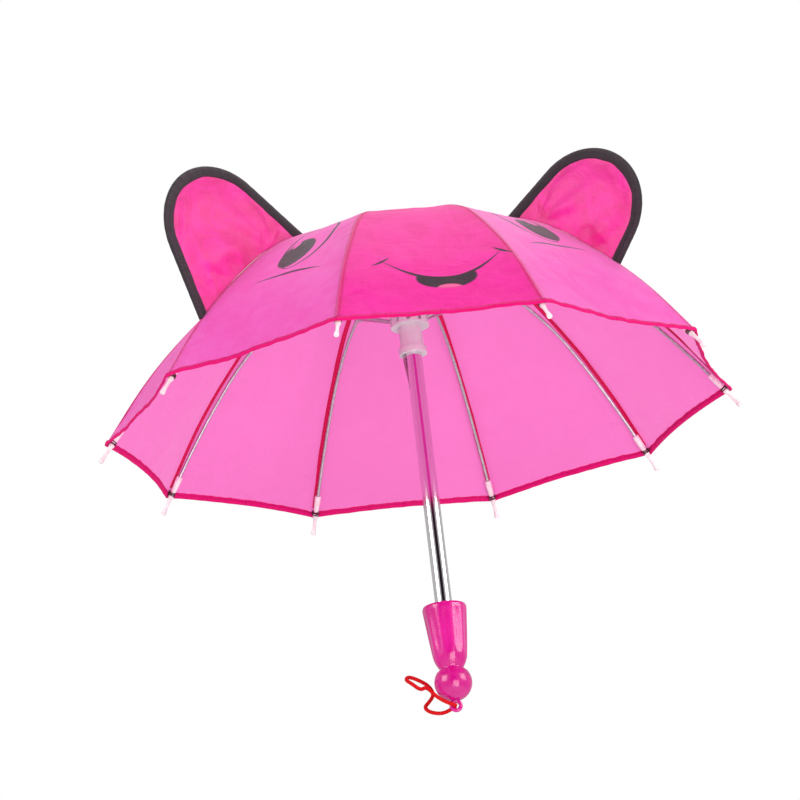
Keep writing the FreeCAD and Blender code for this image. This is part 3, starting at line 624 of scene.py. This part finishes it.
def canopy_taffeta(name, light, deep, inner, sheen, artwork=None):
    """Thin taffeta that lets light through, with its seam stitching and any print."""
    material, tree, shader = finish(name, light, 0.5)
    cloth = node(tree, "UVMap", uv_map="gore").outputs[0]
    seam = node(tree, "SeparateXYZ", {0: node(tree, "UVMap", uv_map="seam").outputs[0]})
    weave = placed(tree, taffeta, {"Cloth": cloth, "Thread": TAFFETA_THREAD})
    tone = plus(tree, times(tree, weave.outputs["Crush"], 0.7),
                times(tree, weave.outputs["Slub"], 0.5))
    colour = blended(tree, stepped(tree, tone, 0.42, 0.78), deep, light)
    doubled = falling(tree, seam.outputs[0], 1.2, 1.5)
    colour = blended(tree, times(tree, doubled, 0.3), colour, SEAM_PINK)
    line = placed(tree, stitching, {"Off": seam.outputs[0], "Along": seam.outputs[1],
                                    "Line": 1.0, "Stitch": 2.4, "Width": 0.2})
    colour = blended(tree, times(tree, line.outputs["Thread"], 0.8), colour, THREAD_PINK)
    inside = node(tree, "NewGeometry").outputs["Backfacing"]
    colour = blended(tree, times(tree, inside, 0.8), colour, inner)
    if artwork:
        ink, tongue = artwork(tree, cloth)
        cover = calc(tree, "SUBTRACT", INK_COVER, times(tree, inside, INK_LOST_INSIDE))
        cover = plus(tree, cover, times(tree, weave.outputs["Slub"], 0.1))
        colour = blended(tree, times(tree, ink, cover), colour, INK)
        colour = blended(tree, tongue, colour, TONGUE)
    painted(tree, shader, colour)
    height = times(tree, weave.outputs["Height"], 0.12)
    for source, share in ((weave.outputs["Slub"], 0.5), (line.outputs["Dent"], -1.2),
                          (line.outputs["Thread"], 0.8), (weave.outputs["Crush"], 6.0)):
        height = plus(tree, height, times(tree, source, share))
    bumped(tree, shader, height, WEAVE_DEPTH)
    adjust(shader, {"Sheen Weight": sheen, "Sheen Roughness": 0.4, "Specular IOR Level": 0.3})
    through = node(tree, "BsdfTranslucent", {"Color": colour})
    tree.links.new(shader.inputs["Normal"].links[0].from_socket, through.inputs["Normal"])
    both = node(tree, "MixShader", {0: SEEN_THROUGH, 1: shader.outputs[0], 2: through.outputs[0]})
    tree.links.new(both.outputs[0], tree.nodes["Material Output"].inputs["Surface"])
    return material


# Light, deep and inner pinks: of most gores, and of the front one, which is darker.
PINKS = (0.98, 0.12, 0.60), (0.95, 0.08, 0.52), (0.98, 0.24, 0.63)
FRONT_PINKS = (0.96, 0.015, 0.40), (0.88, 0.008, 0.31), (0.88, 0.03, 0.42)
SEAM_PINK, THREAD_PINK = (0.80, 0.012, 0.17), (0.62, 0.008, 0.13)
SHEEN, FRONT_SHEEN = 0.5, 0.12
LEFT_EYE, RIGHT_EYE = (-2.0, 81.5), (9.5, 89.0)

plain_gore = canopy_taffeta("gore_taffeta", *PINKS, SHEEN)
smile_gore = canopy_taffeta("smile_taffeta", *FRONT_PINKS, FRONT_SHEEN, smile_print)
left_eye_gore = canopy_taffeta("left_eye_taffeta", *PINKS, SHEEN,
                               lambda tree, cloth: eye_print(tree, cloth, LEFT_EYE, 1))
right_eye_gore = canopy_taffeta("right_eye_taffeta", *PINKS, SHEEN,
                                lambda tree, cloth: eye_print(tree, cloth, RIGHT_EYE, -1))
GORE_FINISH = {1: smile_gore, 2: right_eye_gore, 10: left_eye_gore}


def gore_beside(number, side):
    """The number of the gore on one side of a rib."""
    return number if side > 0 else (number - 2) % RIBS + 1


def lay_uv(mesh, layer, lines):
    """Write each point's place on its cloth to a UV map."""
    for face in mesh.faces:
        for loop in face.loops:
            loop[layer].uv = lines[loop.vert]


def half_gore(number, side):
    """One half of a gore, with UV maps of the distances from its middle and from the seam."""
    gore = gore_beside(number, side)
    mesh = bmesh.new()
    bmesh.ops.create_grid(mesh, x_segments=ACROSS, y_segments=ALONG, size=0.5)
    gore_map = mesh.loops.layers.uv.new("gore")
    seam_map = mesh.loops.layers.uv.new("seam")
    gore_lines, seam_lines = {}, {}
    for point in mesh.verts:
        across = point.co.x + 0.5
        share = (point.co.y + 0.5) ** CROWDING
        radius = CLOTH_START + (REACH - CLOTH_START) * share
        width = radius * math.sin(HALF_STEP)
        off_seam = width * across
        from_middle = -side * (width - off_seam)
        up = from_hem(radius)
        place, outward = cloth_place(radius, across, side)[:2]
        place += outward * crease(gore, from_middle, up, off_seam, radius)
        point.co = place * MM
        gore_lines[point], seam_lines[point] = (from_middle, up), (off_seam, up)
    lay_uv(mesh, gore_map, gore_lines)
    lay_uv(mesh, seam_map, seam_lines)
    if side > 0:
        bmesh.ops.reverse_faces(mesh, faces=mesh.faces[:])
    moved(mesh, in_rib_plane(number))
    return mesh, GORE_FINISH.get(gore, plain_gore)


def gather(piece):
    """Bake the piece's placement into its mesh."""
    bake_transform(piece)


def stitched_trim(name, colour, roughness, uv_map, stitches, tones, thread_tone, thread_share=1.0,
                  along=0, mirrored=False, yarn=TAFFETA_THREAD, weave=0.0, slub=1.0, depth=0.00015):
    """A narrow strip of folded cloth with a row of stitches: stitches is (line, stitch, width).

    along is the UV map's axis that runs along the strip."""
    material, tree, shader = finish(name, colour, roughness)
    cloth = node(tree, "UVMap", uv_map=uv_map).outputs[0]
    parts = node(tree, "SeparateXYZ", {0: cloth})
    off = parts.outputs[1 - along]
    if mirrored:
        off = calc(tree, "ABSOLUTE", off)
    line = placed(tree, stitching, {"Off": off, "Along": parts.outputs[along], "Line": stitches[0],
                                    "Stitch": stitches[1], "Width": stitches[2]})
    woven = placed(tree, taffeta, {"Cloth": cloth, "Thread": yarn})
    tone = blended(tree, stepped(tree, woven.outputs["Slub"], 0.35, 0.65), *tones)
    shown = times(tree, line.outputs["Thread"], thread_share)
    painted(tree, shader, blended(tree, shown, tone, thread_tone))
    height = plus(tree, times(tree, woven.outputs["Height"], weave),
                  times(tree, woven.outputs["Slub"], slub))
    bumped(tree, shader, calc(tree, "SUBTRACT", height, line.outputs["Dent"]), depth)
    return material, shader


def close_strip(mesh, number):
    """Weld a grid that was rolled into a flat tube, cap its ends, and turn it to its rib."""
    bmesh.ops.remove_doubles(mesh, verts=mesh.verts[:], dist=WELD)
    ends = [edge for edge in mesh.edges if edge.is_boundary]
    bmesh.ops.holes_fill(mesh, edges=ends, sides=0)
    bmesh.ops.recalc_face_normals(mesh, faces=mesh.faces[:])
    moved(mesh, in_rib_plane(number))


# The hem is the cloth's own edge, rolled over twice and stitched; the layers make it look deeper.
hem_cloth, shader = stitched_trim("rolled_hem", (0.75, 0.004, 0.14), 0.6, "hem", (0.0, 1.9, 0.2),
                                  ((0.66, 0.002, 0.13), (0.78, 0.003, 0.19)),
                                  (0.42, 0.004, 0.07), slub=0.8)
adjust(shader, {"Specular IOR Level": 0.12})

HEM_WIDE, HEM_THICK = 3.0, 1.25
HEM_STEPS, HEM_SIDES = 44, 12
HEM_OVERHANG, HEM_LINE = 0.45, 0.22  # shares of its width, to its middle and to its stitches


def rolled_edge(number, side):
    """The rolled hem of one half gore, a flat tube round the cloth's edge."""
    gore = gore_beside(number, side)
    mesh = bmesh.new()
    bmesh.ops.create_grid(mesh, x_segments=HEM_STEPS, y_segments=HEM_SIDES, size=0.5)
    hem_map = mesh.loops.layers.uv.new("hem")
    lines = {}
    for point in mesh.verts:
        across = point.co.x + 0.5
        turn = math.tau * (point.co.y + 0.5)
        width = REACH * math.sin(HALF_STEP)
        from_middle = -side * width * (1 - across)
        place, outward, hemward = cloth_place(REACH, across, side)
        place += outward * crease(gore, from_middle, 0, width * across, REACH)
        plump = 1 + 0.12 * noise.noise(Vector((from_middle / 3, gore * 5.1, 0)))
        place += hemward * ((math.cos(turn) * 0.5 - HEM_OVERHANG) * HEM_WIDE * plump)
        place += outward * (math.sin(turn) * 0.5 * HEM_THICK * plump)
        lines[point] = (from_middle, HEM_WIDE * (math.cos(turn) * 0.5 + HEM_LINE))
        point.co = place * MM
    lay_uv(mesh, hem_map, lines)
    close_strip(mesh, number)
    return mesh


for number in RIB_NUMBERS:
    for side, word in ((-1, "right"), (1, "left")):
        mesh, cloth_finish = half_gore(number, side)
        half = piece_of(f"gore_{word}_of_rib_{number:02d}", mesh, cloth_finish)
        hem = piece_of(f"hem_{word}_of_rib_{number:02d}", rolled_edge(number, side), hem_cloth)
        for piece in (half, hem):
            gather(piece)
        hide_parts(f"canopy_{word}_of_rib_{number:02d}")


# ---- Seam allowances: the gores' raw edges, turned in, bound and sewn flat inside each seam ----
# Four layers of cloth, so from inside they show as deep crimson bands beside the wires.

BAND_WIDE, BAND_THICK = 2.4, 0.5
BAND_START, BAND_END = 13, REACH - 3.2
BAND_SIDES, BAND_STEPS = 10, 110
BAND_ASIDE, BAND_BELOW = 0.3, 0.62  # its middle from the seam, and under the cloth

band_cloth, shader = stitched_trim("seam_band", (0.72, 0.002, 0.08), 0.65, "band",
                                   (0.35, 2.2, 0.28), ((0.60, 0.001, 0.05), (0.76, 0.003, 0.10)),
                                   (0.84, 0.03, 0.16), thread_share=0.7, along=1)
adjust(shader, {"Specular IOR Level": 0.12})


def seam_allowance(number):
    """A flat tube under the seam over one rib."""
    mesh = bmesh.new()
    bmesh.ops.create_grid(mesh, x_segments=BAND_SIDES, y_segments=BAND_STEPS, size=0.5)
    band_map = mesh.loops.layers.uv.new("band")
    lines = {}
    for point in mesh.verts:
        turn = math.tau * (point.co.x + 0.5)
        radius = BAND_START + (BAND_END - BAND_START) * (point.co.y + 0.5)
        place, outward = cloth_place(radius, 0, 1)[:2]
        wander = 0.22 * noise.noise(Vector((radius / 9, number * 4.7, 0)))
        aside = math.cos(turn) * 0.5 * BAND_WIDE + BAND_ASIDE + wander
        fullness = 1 + 0.25 * noise.noise(Vector((radius / 3, number * 2.9, 4)))
        lower = BAND_BELOW + 0.05 * abs(aside) + math.sin(turn) * 0.5 * BAND_THICK * fullness
        lines[point] = (aside, from_hem(radius))
        point.co = (place + Vector((0, aside, 0)) - outward * lower) * MM
    lay_uv(mesh, band_map, lines)
    close_strip(mesh, number)
    return mesh


for number in RIB_NUMBERS:
    band = piece_of(f"seam_band_{number:02d}", seam_allowance(number), band_cloth)
    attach(band, f"rib_{number:02d}")


# ---- Ears: two round-topped flaps sewn into the seams of two ribs ----
# Each is two cloths with a thin filling between, closed all round by a folded dark binding. The
# cloth is cut a little full, so it wrinkles between its bound edges.

EAR_START, EAR_SINK = 60, 0.5
# Each ear's rib, round centre (out and up), radius, and the seam's outer end.
EARS = {
    "right": (3, Vector((101.5, 180.2)), 30.8, 116),
    "left": (10, Vector((108.5, 182.5)), 33.5, 127),
}


def tangent_point(ear, point, way):
    """Where a straight edge from the seam's end meets the ear's round top."""
    centre, radius = ear[1:3]
    away = point - centre
    turn = math.atan2(away.y, away.x) + way * math.acos(radius / away.length)
    return centre + Vector((math.cos(turn), math.sin(turn))) * radius


def ear_seam(ear, share):
    """A point of the ear's seam, tucked in between the gores over its rib."""
    radius = EAR_START + (ear[3] - EAR_START) * share
    return Vector((radius, cloth_height(radius) - EAR_SINK))


def ear_edge(ear, share):
    """A point of the ear's free edge: straight, round the top, and straight again."""
    centre, radius = ear[1:3]
    foot, toe = ear_seam(ear, 0), ear_seam(ear, 1)
    rear, front = tangent_point(ear, foot, -1), tangent_point(ear, toe, 1)
    start = math.atan2(rear.y - centre.y, rear.x - centre.x)
    end = math.atan2(front.y - centre.y, front.x - centre.x)
    lengths = [(rear - foot).length, (start - end) * radius, (front - toe).length]
    travel = share * sum(lengths)
    if travel < lengths[0]:
        return foot.lerp(rear, travel / lengths[0])
    if travel < lengths[0] + lengths[1]:
        turn = start - (travel - lengths[0]) / radius
        return centre + Vector((math.cos(turn), math.sin(turn))) * radius
    return front.lerp(toe, (travel - lengths[0] - lengths[1]) / lengths[2])


EAR_COLUMNS, EAR_ROWS, RIM_STEPS = 54, 34, 90
EAR_INSET, EAR_PUFF, EAR_FOLD, EAR_CRUMPLE = 0.985, 0.45, 0.55, 0.8
BIND_WIDE, BIND_THICK = 5.6, 2.4
LOOSENING = 9  # millimetres from the binding to where the cloth is free


def ear_flap(ear):
    """Both cloths of an ear in X and Z of the rib's plane, joined at the edges, with soft folds.

    Each point keeps its looseness: 0 at the edges and 1 where the cloth is free."""
    mesh = bmesh.new()
    loose = mesh.verts.layers.float.new("loose")
    root = ear_seam(ear, 0.3)
    rim = [ear_edge(ear, step / RIM_STEPS) for step in range(RIM_STEPS + 1)]
    for face_way in (1, -1):
        cloth = bmesh.ops.create_grid(mesh, x_segments=EAR_COLUMNS, y_segments=EAR_ROWS, size=0.5)
        for point in cloth["verts"]:
            share, rise = point.co.x + 0.5, point.co.y + 0.5
            foot = ear_seam(ear, share)
            place = foot.lerp(ear_edge(ear, share), EAR_INSET * rise)
            puff = math.sin(math.pi * share) ** 0.5 * math.sin(math.pi * rise) ** 0.5
            off_edge = min((place - spot).length for spot in rim)
            free = min(1, max(0, (off_edge - BIND_WIDE) / LOOSENING), 4 * rise)
            spread = math.atan2(place.y - root.y, place.x - root.x)
            fold = EAR_FOLD * math.sin(9 * spread + ear[0])
            fold += EAR_CRUMPLE * noise.noise(Vector((place.x / 13, ear[0] * 3.3, place.y / 10)))
            point.co = (place.x, face_way * EAR_PUFF * puff + fold * free, place.y)
            point[loose] = free
    bmesh.ops.remove_doubles(mesh, verts=mesh.verts[:], dist=0.02)
    return mesh


EAR_LIFT = 10.0  # an ear is simulated at this many times its size
SWELL_FRAMES, SWELL_CAP, PINNED = 20, 1.6, 0.01


def ease_ear(piece):
    """Let the filling swell and the cloth wrinkle: a short cloth run with the edges pinned."""
    rest = [point.co.copy() for point in piece.data.vertices]
    loose = [value.value for value in piece.data.attributes["loose"].data]
    group = piece.vertex_groups.new(name="bound")
    group.add([index for index, free in enumerate(loose) if free < PINNED], 1.0, "REPLACE")
    cloth = piece.modifiers.new("swell", "CLOTH")
    cloth.settings.quality = 6
    cloth.settings.mass = 0.15
    cloth.settings.vertex_group_mass = "bound"
    cloth.settings.use_pressure = True
    cloth.settings.uniform_pressure_force = 1.2
    cloth.settings.shrink_min = -0.03
    cloth.settings.bending_stiffness = 0.4
    cloth.settings.effector_weights.gravity = 0.0
    cloth.collision_settings.use_collision = False
    scene = bpy.context.scene
    for step in range(1, SWELL_FRAMES + 1):
        scene.frame_set(step)
    shown = piece.evaluated_get(bpy.context.evaluated_depsgraph_get())
    swelled = [point.co.copy() for point in shown.data.vertices]
    piece.modifiers.remove(cloth)
    piece.vertex_groups.clear()
    scene.frame_set(1)
    cap = SWELL_CAP * EAR_LIFT * MM
    for point, free, before, after in zip(piece.data.vertices, loose, rest, swelled):
        step = after - before
        point.co = before + step * free * min(1, cap / max(step.length, 1e-9))


ear_satin, tree, shader = finish("ear_satin", (0.90, 0.04, 0.32), 0.42)
where = node(tree, "TexCoord").outputs["Object"]
where = node(tree, "Mapping", {"Vector": where, "Rotation": (0, 0, -RIB_TURNS[2]),
                               "Scale": (1000, 1000, 1000)}).outputs[0]
parts = node(tree, "SeparateXYZ", {0: where})
across = plus(tree, parts.outputs[0], parts.outputs[1])
plane = node(tree, "CombineXYZ", {0: across, 1: parts.outputs[2]}).outputs[0]
satin = placed(tree, taffeta, {"Cloth": plane, "Thread": 0.4})
tone = plus(tree, times(tree, satin.outputs["Crush"], 0.8),
            times(tree, satin.outputs["Slub"], 0.4))
colour = blended(tree, stepped(tree, tone, 0.4, 0.8), (0.68, 0.003, 0.19), (0.86, 0.008, 0.33))
painted(tree, shader, colour)
height = plus(tree, times(tree, satin.outputs["Height"], 0.12),
              satin.outputs["Slub"])
height = plus(tree, height, times(tree, satin.outputs["Crush"], 7.0))
bumped(tree, shader, height, WEAVE_DEPTH)
adjust(shader, {"Sheen Weight": 0.08, "Anisotropic": 0.4})

# The binding is one strip of dark cloth, folded over both cloths' edges and stitched through.
BIND_STEPS, BIND_SIDES = 150, 14
BIND_TRIM, BIND_LENGTH = 0.004, 190
dark_binding, shader = stitched_trim("dark_binding", (0.022, 0.013, 0.018), 0.6, "binding",
                                     (1.9, 2.2, 0.2),
                                     ((0.006, 0.003, 0.006), (0.022, 0.010, 0.018)),
                                     (0.05, 0.022, 0.036), thread_share=0.6, mirrored=True,
                                     yarn=0.45, weave=0.3, depth=0.00018)
adjust(shader, {"Sheen Weight": 0.12, "Sheen Tint": (0.8, 0.6, 0.7, 1)})


def folded_binding(ear):
    """The binding of one ear, a flat tube round the cloths' free edge."""
    number = ear[0]
    mesh = bmesh.new()
    bmesh.ops.create_grid(mesh, x_segments=BIND_STEPS, y_segments=BIND_SIDES, size=0.5)
    bind_map = mesh.loops.layers.uv.new("binding")
    lines = {}
    for point in mesh.verts:
        share = BIND_TRIM + (1 - 2 * BIND_TRIM) * (point.co.x + 0.5)
        turn = math.tau * (point.co.y + 0.5)
        edge = ear_edge(ear, share)
        forward = ear_edge(ear, min(1, share + 0.01)) - ear_edge(ear, max(0, share - 0.01))
        forward.normalize()
        inward = Vector((forward.y, -forward.x))
        spot = Vector((share * 34, number * 5.7, math.cos(turn)))
        ruck = 0.07 * math.sin(share * BIND_LENGTH + 3 * noise.noise(spot * 0.3))
        full = 1 + 0.2 * noise.noise(spot) + ruck
        reach = 0.5 - 0.5 * math.cos(turn)
        depth = reach * BIND_WIDE * (1 + 0.07 * noise.noise(spot * 0.6))
        thick = math.sin(turn) * 0.5 * BIND_THICK * full * (1.12 - 0.25 * reach)
        place = edge + inward * depth
        lines[point] = (share * BIND_LENGTH, (turn - math.pi) / math.pi * BIND_WIDE * 0.5)
        point.co = Vector((place.x, thick, place.y)) * MM
    lay_uv(mesh, bind_map, lines)
    close_strip(mesh, number)
    return mesh


for word, shape in EARS.items():
    number = shape[0]
    mesh = ear_flap(shape)
    bmesh.ops.recalc_face_normals(mesh, faces=mesh.faces[:])
    bmesh.ops.scale(mesh, vec=(EAR_LIFT * MM,) * 3, verts=mesh.verts[:])
    ear = piece_of(f"ear_flap_{word}", mesh, ear_satin)
    ease_ear(ear)
    for point in ear.data.vertices:
        point.co = in_rib_plane(number) @ (point.co / EAR_LIFT)
    smooth = ear.modifiers.new("smooth", "SUBSURF")
    smooth.levels = smooth.render_levels = 1
    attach(ear, f"rib_{number:02d}")
    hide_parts(f"ear_{word}")

    binding = piece_of(f"ear_binding_{word}", folded_binding(shape), dark_binding)
    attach(binding, f"rib_{number:02d}")


# ---- Floor, light and camera ----
# A pale floor well below the held umbrella, soft lights to both sides and above, and a long lens
# that looks up under the hem.

FLOOR_RADIUS, FLOOR_UP = 6.0, -0.9  # metres, as are the lights' and the camera's places

floor_paint, tree, shader = finish("pale_floor", (0.86, 0.86, 0.87), 0.6)
mesh = bmesh.new()
bmesh.ops.create_circle(mesh, cap_ends=True, segments=96, radius=FLOOR_RADIUS)
bmesh.ops.translate(mesh, verts=mesh.verts[:], vec=(0, 0, FLOOR_UP))
floor = piece_of("floor", mesh, floor_paint, smooth=False)

# The studio is white. What shines sees a dark patch in front of it, and a dimmer white elsewhere.
WHITE, DARK_PATCH, GLOW = (1.0, 0.99, 1.0), (0.03, 0.02, 0.03), 0.55

world = bpy.data.worlds.new("studio")
bpy.context.scene.world = world
world.use_nodes = True
tree = world.node_tree
sky = tree.nodes["Background"]
seen = node(tree, "LightPath").outputs["Is Camera Ray"]
facing = node(tree, "SeparateXYZ", {0: node(tree, "TexCoord").outputs["Generated"]})
aside = times(tree, facing.outputs[0], facing.outputs[0])
ahead = times(tree, facing.outputs[1], -1.0)
patch = times(tree, stepped(tree, ahead, 0.66, 0.86), falling(tree, aside, 0.08, 0.16))
glow = blended(tree, patch, WHITE, DARK_PATCH)
tree.links.new(blended(tree, seen, glow, (1, 1, 1)), sky.inputs["Color"])
strength = plus(tree, GLOW, times(tree, seen, 1 - GLOW))
tree.links.new(strength, sky.inputs["Strength"])


LIGHT_AIM = Vector((0, 0, 0.12))


def soft_light(name, place, size, power):
    """A square soft box that faces the umbrella."""
    data = bpy.data.lights.new(name, "AREA")
    data.shape = "SQUARE"
    data.size = size
    data.energy = power
    lamp = bpy.data.objects.new(name, data)
    bpy.context.scene.collection.objects.link(lamp)
    lamp.location = place
    lamp.rotation_euler = (LIGHT_AIM - Vector(place)).to_track_quat("-Z", "Y").to_euler()


soft_light("left_soft_box", (-1.5, -0.9, 0.7), 1.0, 16)
soft_light("right_soft_box", (1.5, -0.8, 0.6), 1.0, 16)
soft_light("top_soft_box", (0.2, 0.5, 1.6), 1.2, 10)
soft_light("low_fill", (0.3, -1.4, -0.5), 0.9, 12)

# The camera looks up at the middle of the rim from below, and is tilted as the umbrella is held.
YAW, LIFT, ROLL = math.radians(-5.77), math.radians(-18.64), math.radians(-6.94)
DISTANCE = 1.81
FOCAL_LENGTH, SENSOR, SHIFT, CLIP = 171.6, 36, (-0.0263, 0.022), (0.05, 50)

target = Vector((0, 0, RIM * MM))
level = Vector((math.sin(YAW), -math.cos(YAW), 0)) * math.cos(LIFT)
stand = target + DISTANCE * (level + Vector((0, 0, math.sin(LIFT))))
forward = (target - stand).normalized()
right = forward.cross(Vector((0, 0, 1))).normalized()
upward = right.cross(forward)
right, upward = (math.cos(ROLL) * right + math.sin(ROLL) * upward,
                 math.cos(ROLL) * upward - math.sin(ROLL) * right)
lens = bpy.data.cameras.new("camera")
lens.lens, lens.sensor_width = FOCAL_LENGTH, SENSOR
lens.shift_x, lens.shift_y = SHIFT
lens.clip_start, lens.clip_end = CLIP
camera = bpy.data.objects.new("camera", lens)
bpy.context.scene.collection.objects.link(camera)
turned = Matrix((right, upward, -forward)).transposed().to_4x4()
camera.matrix_world = Matrix.Translation(stand) @ turned
bpy.context.scene.camera = camera
bpy.context.scene.view_settings.view_transform = "Standard"
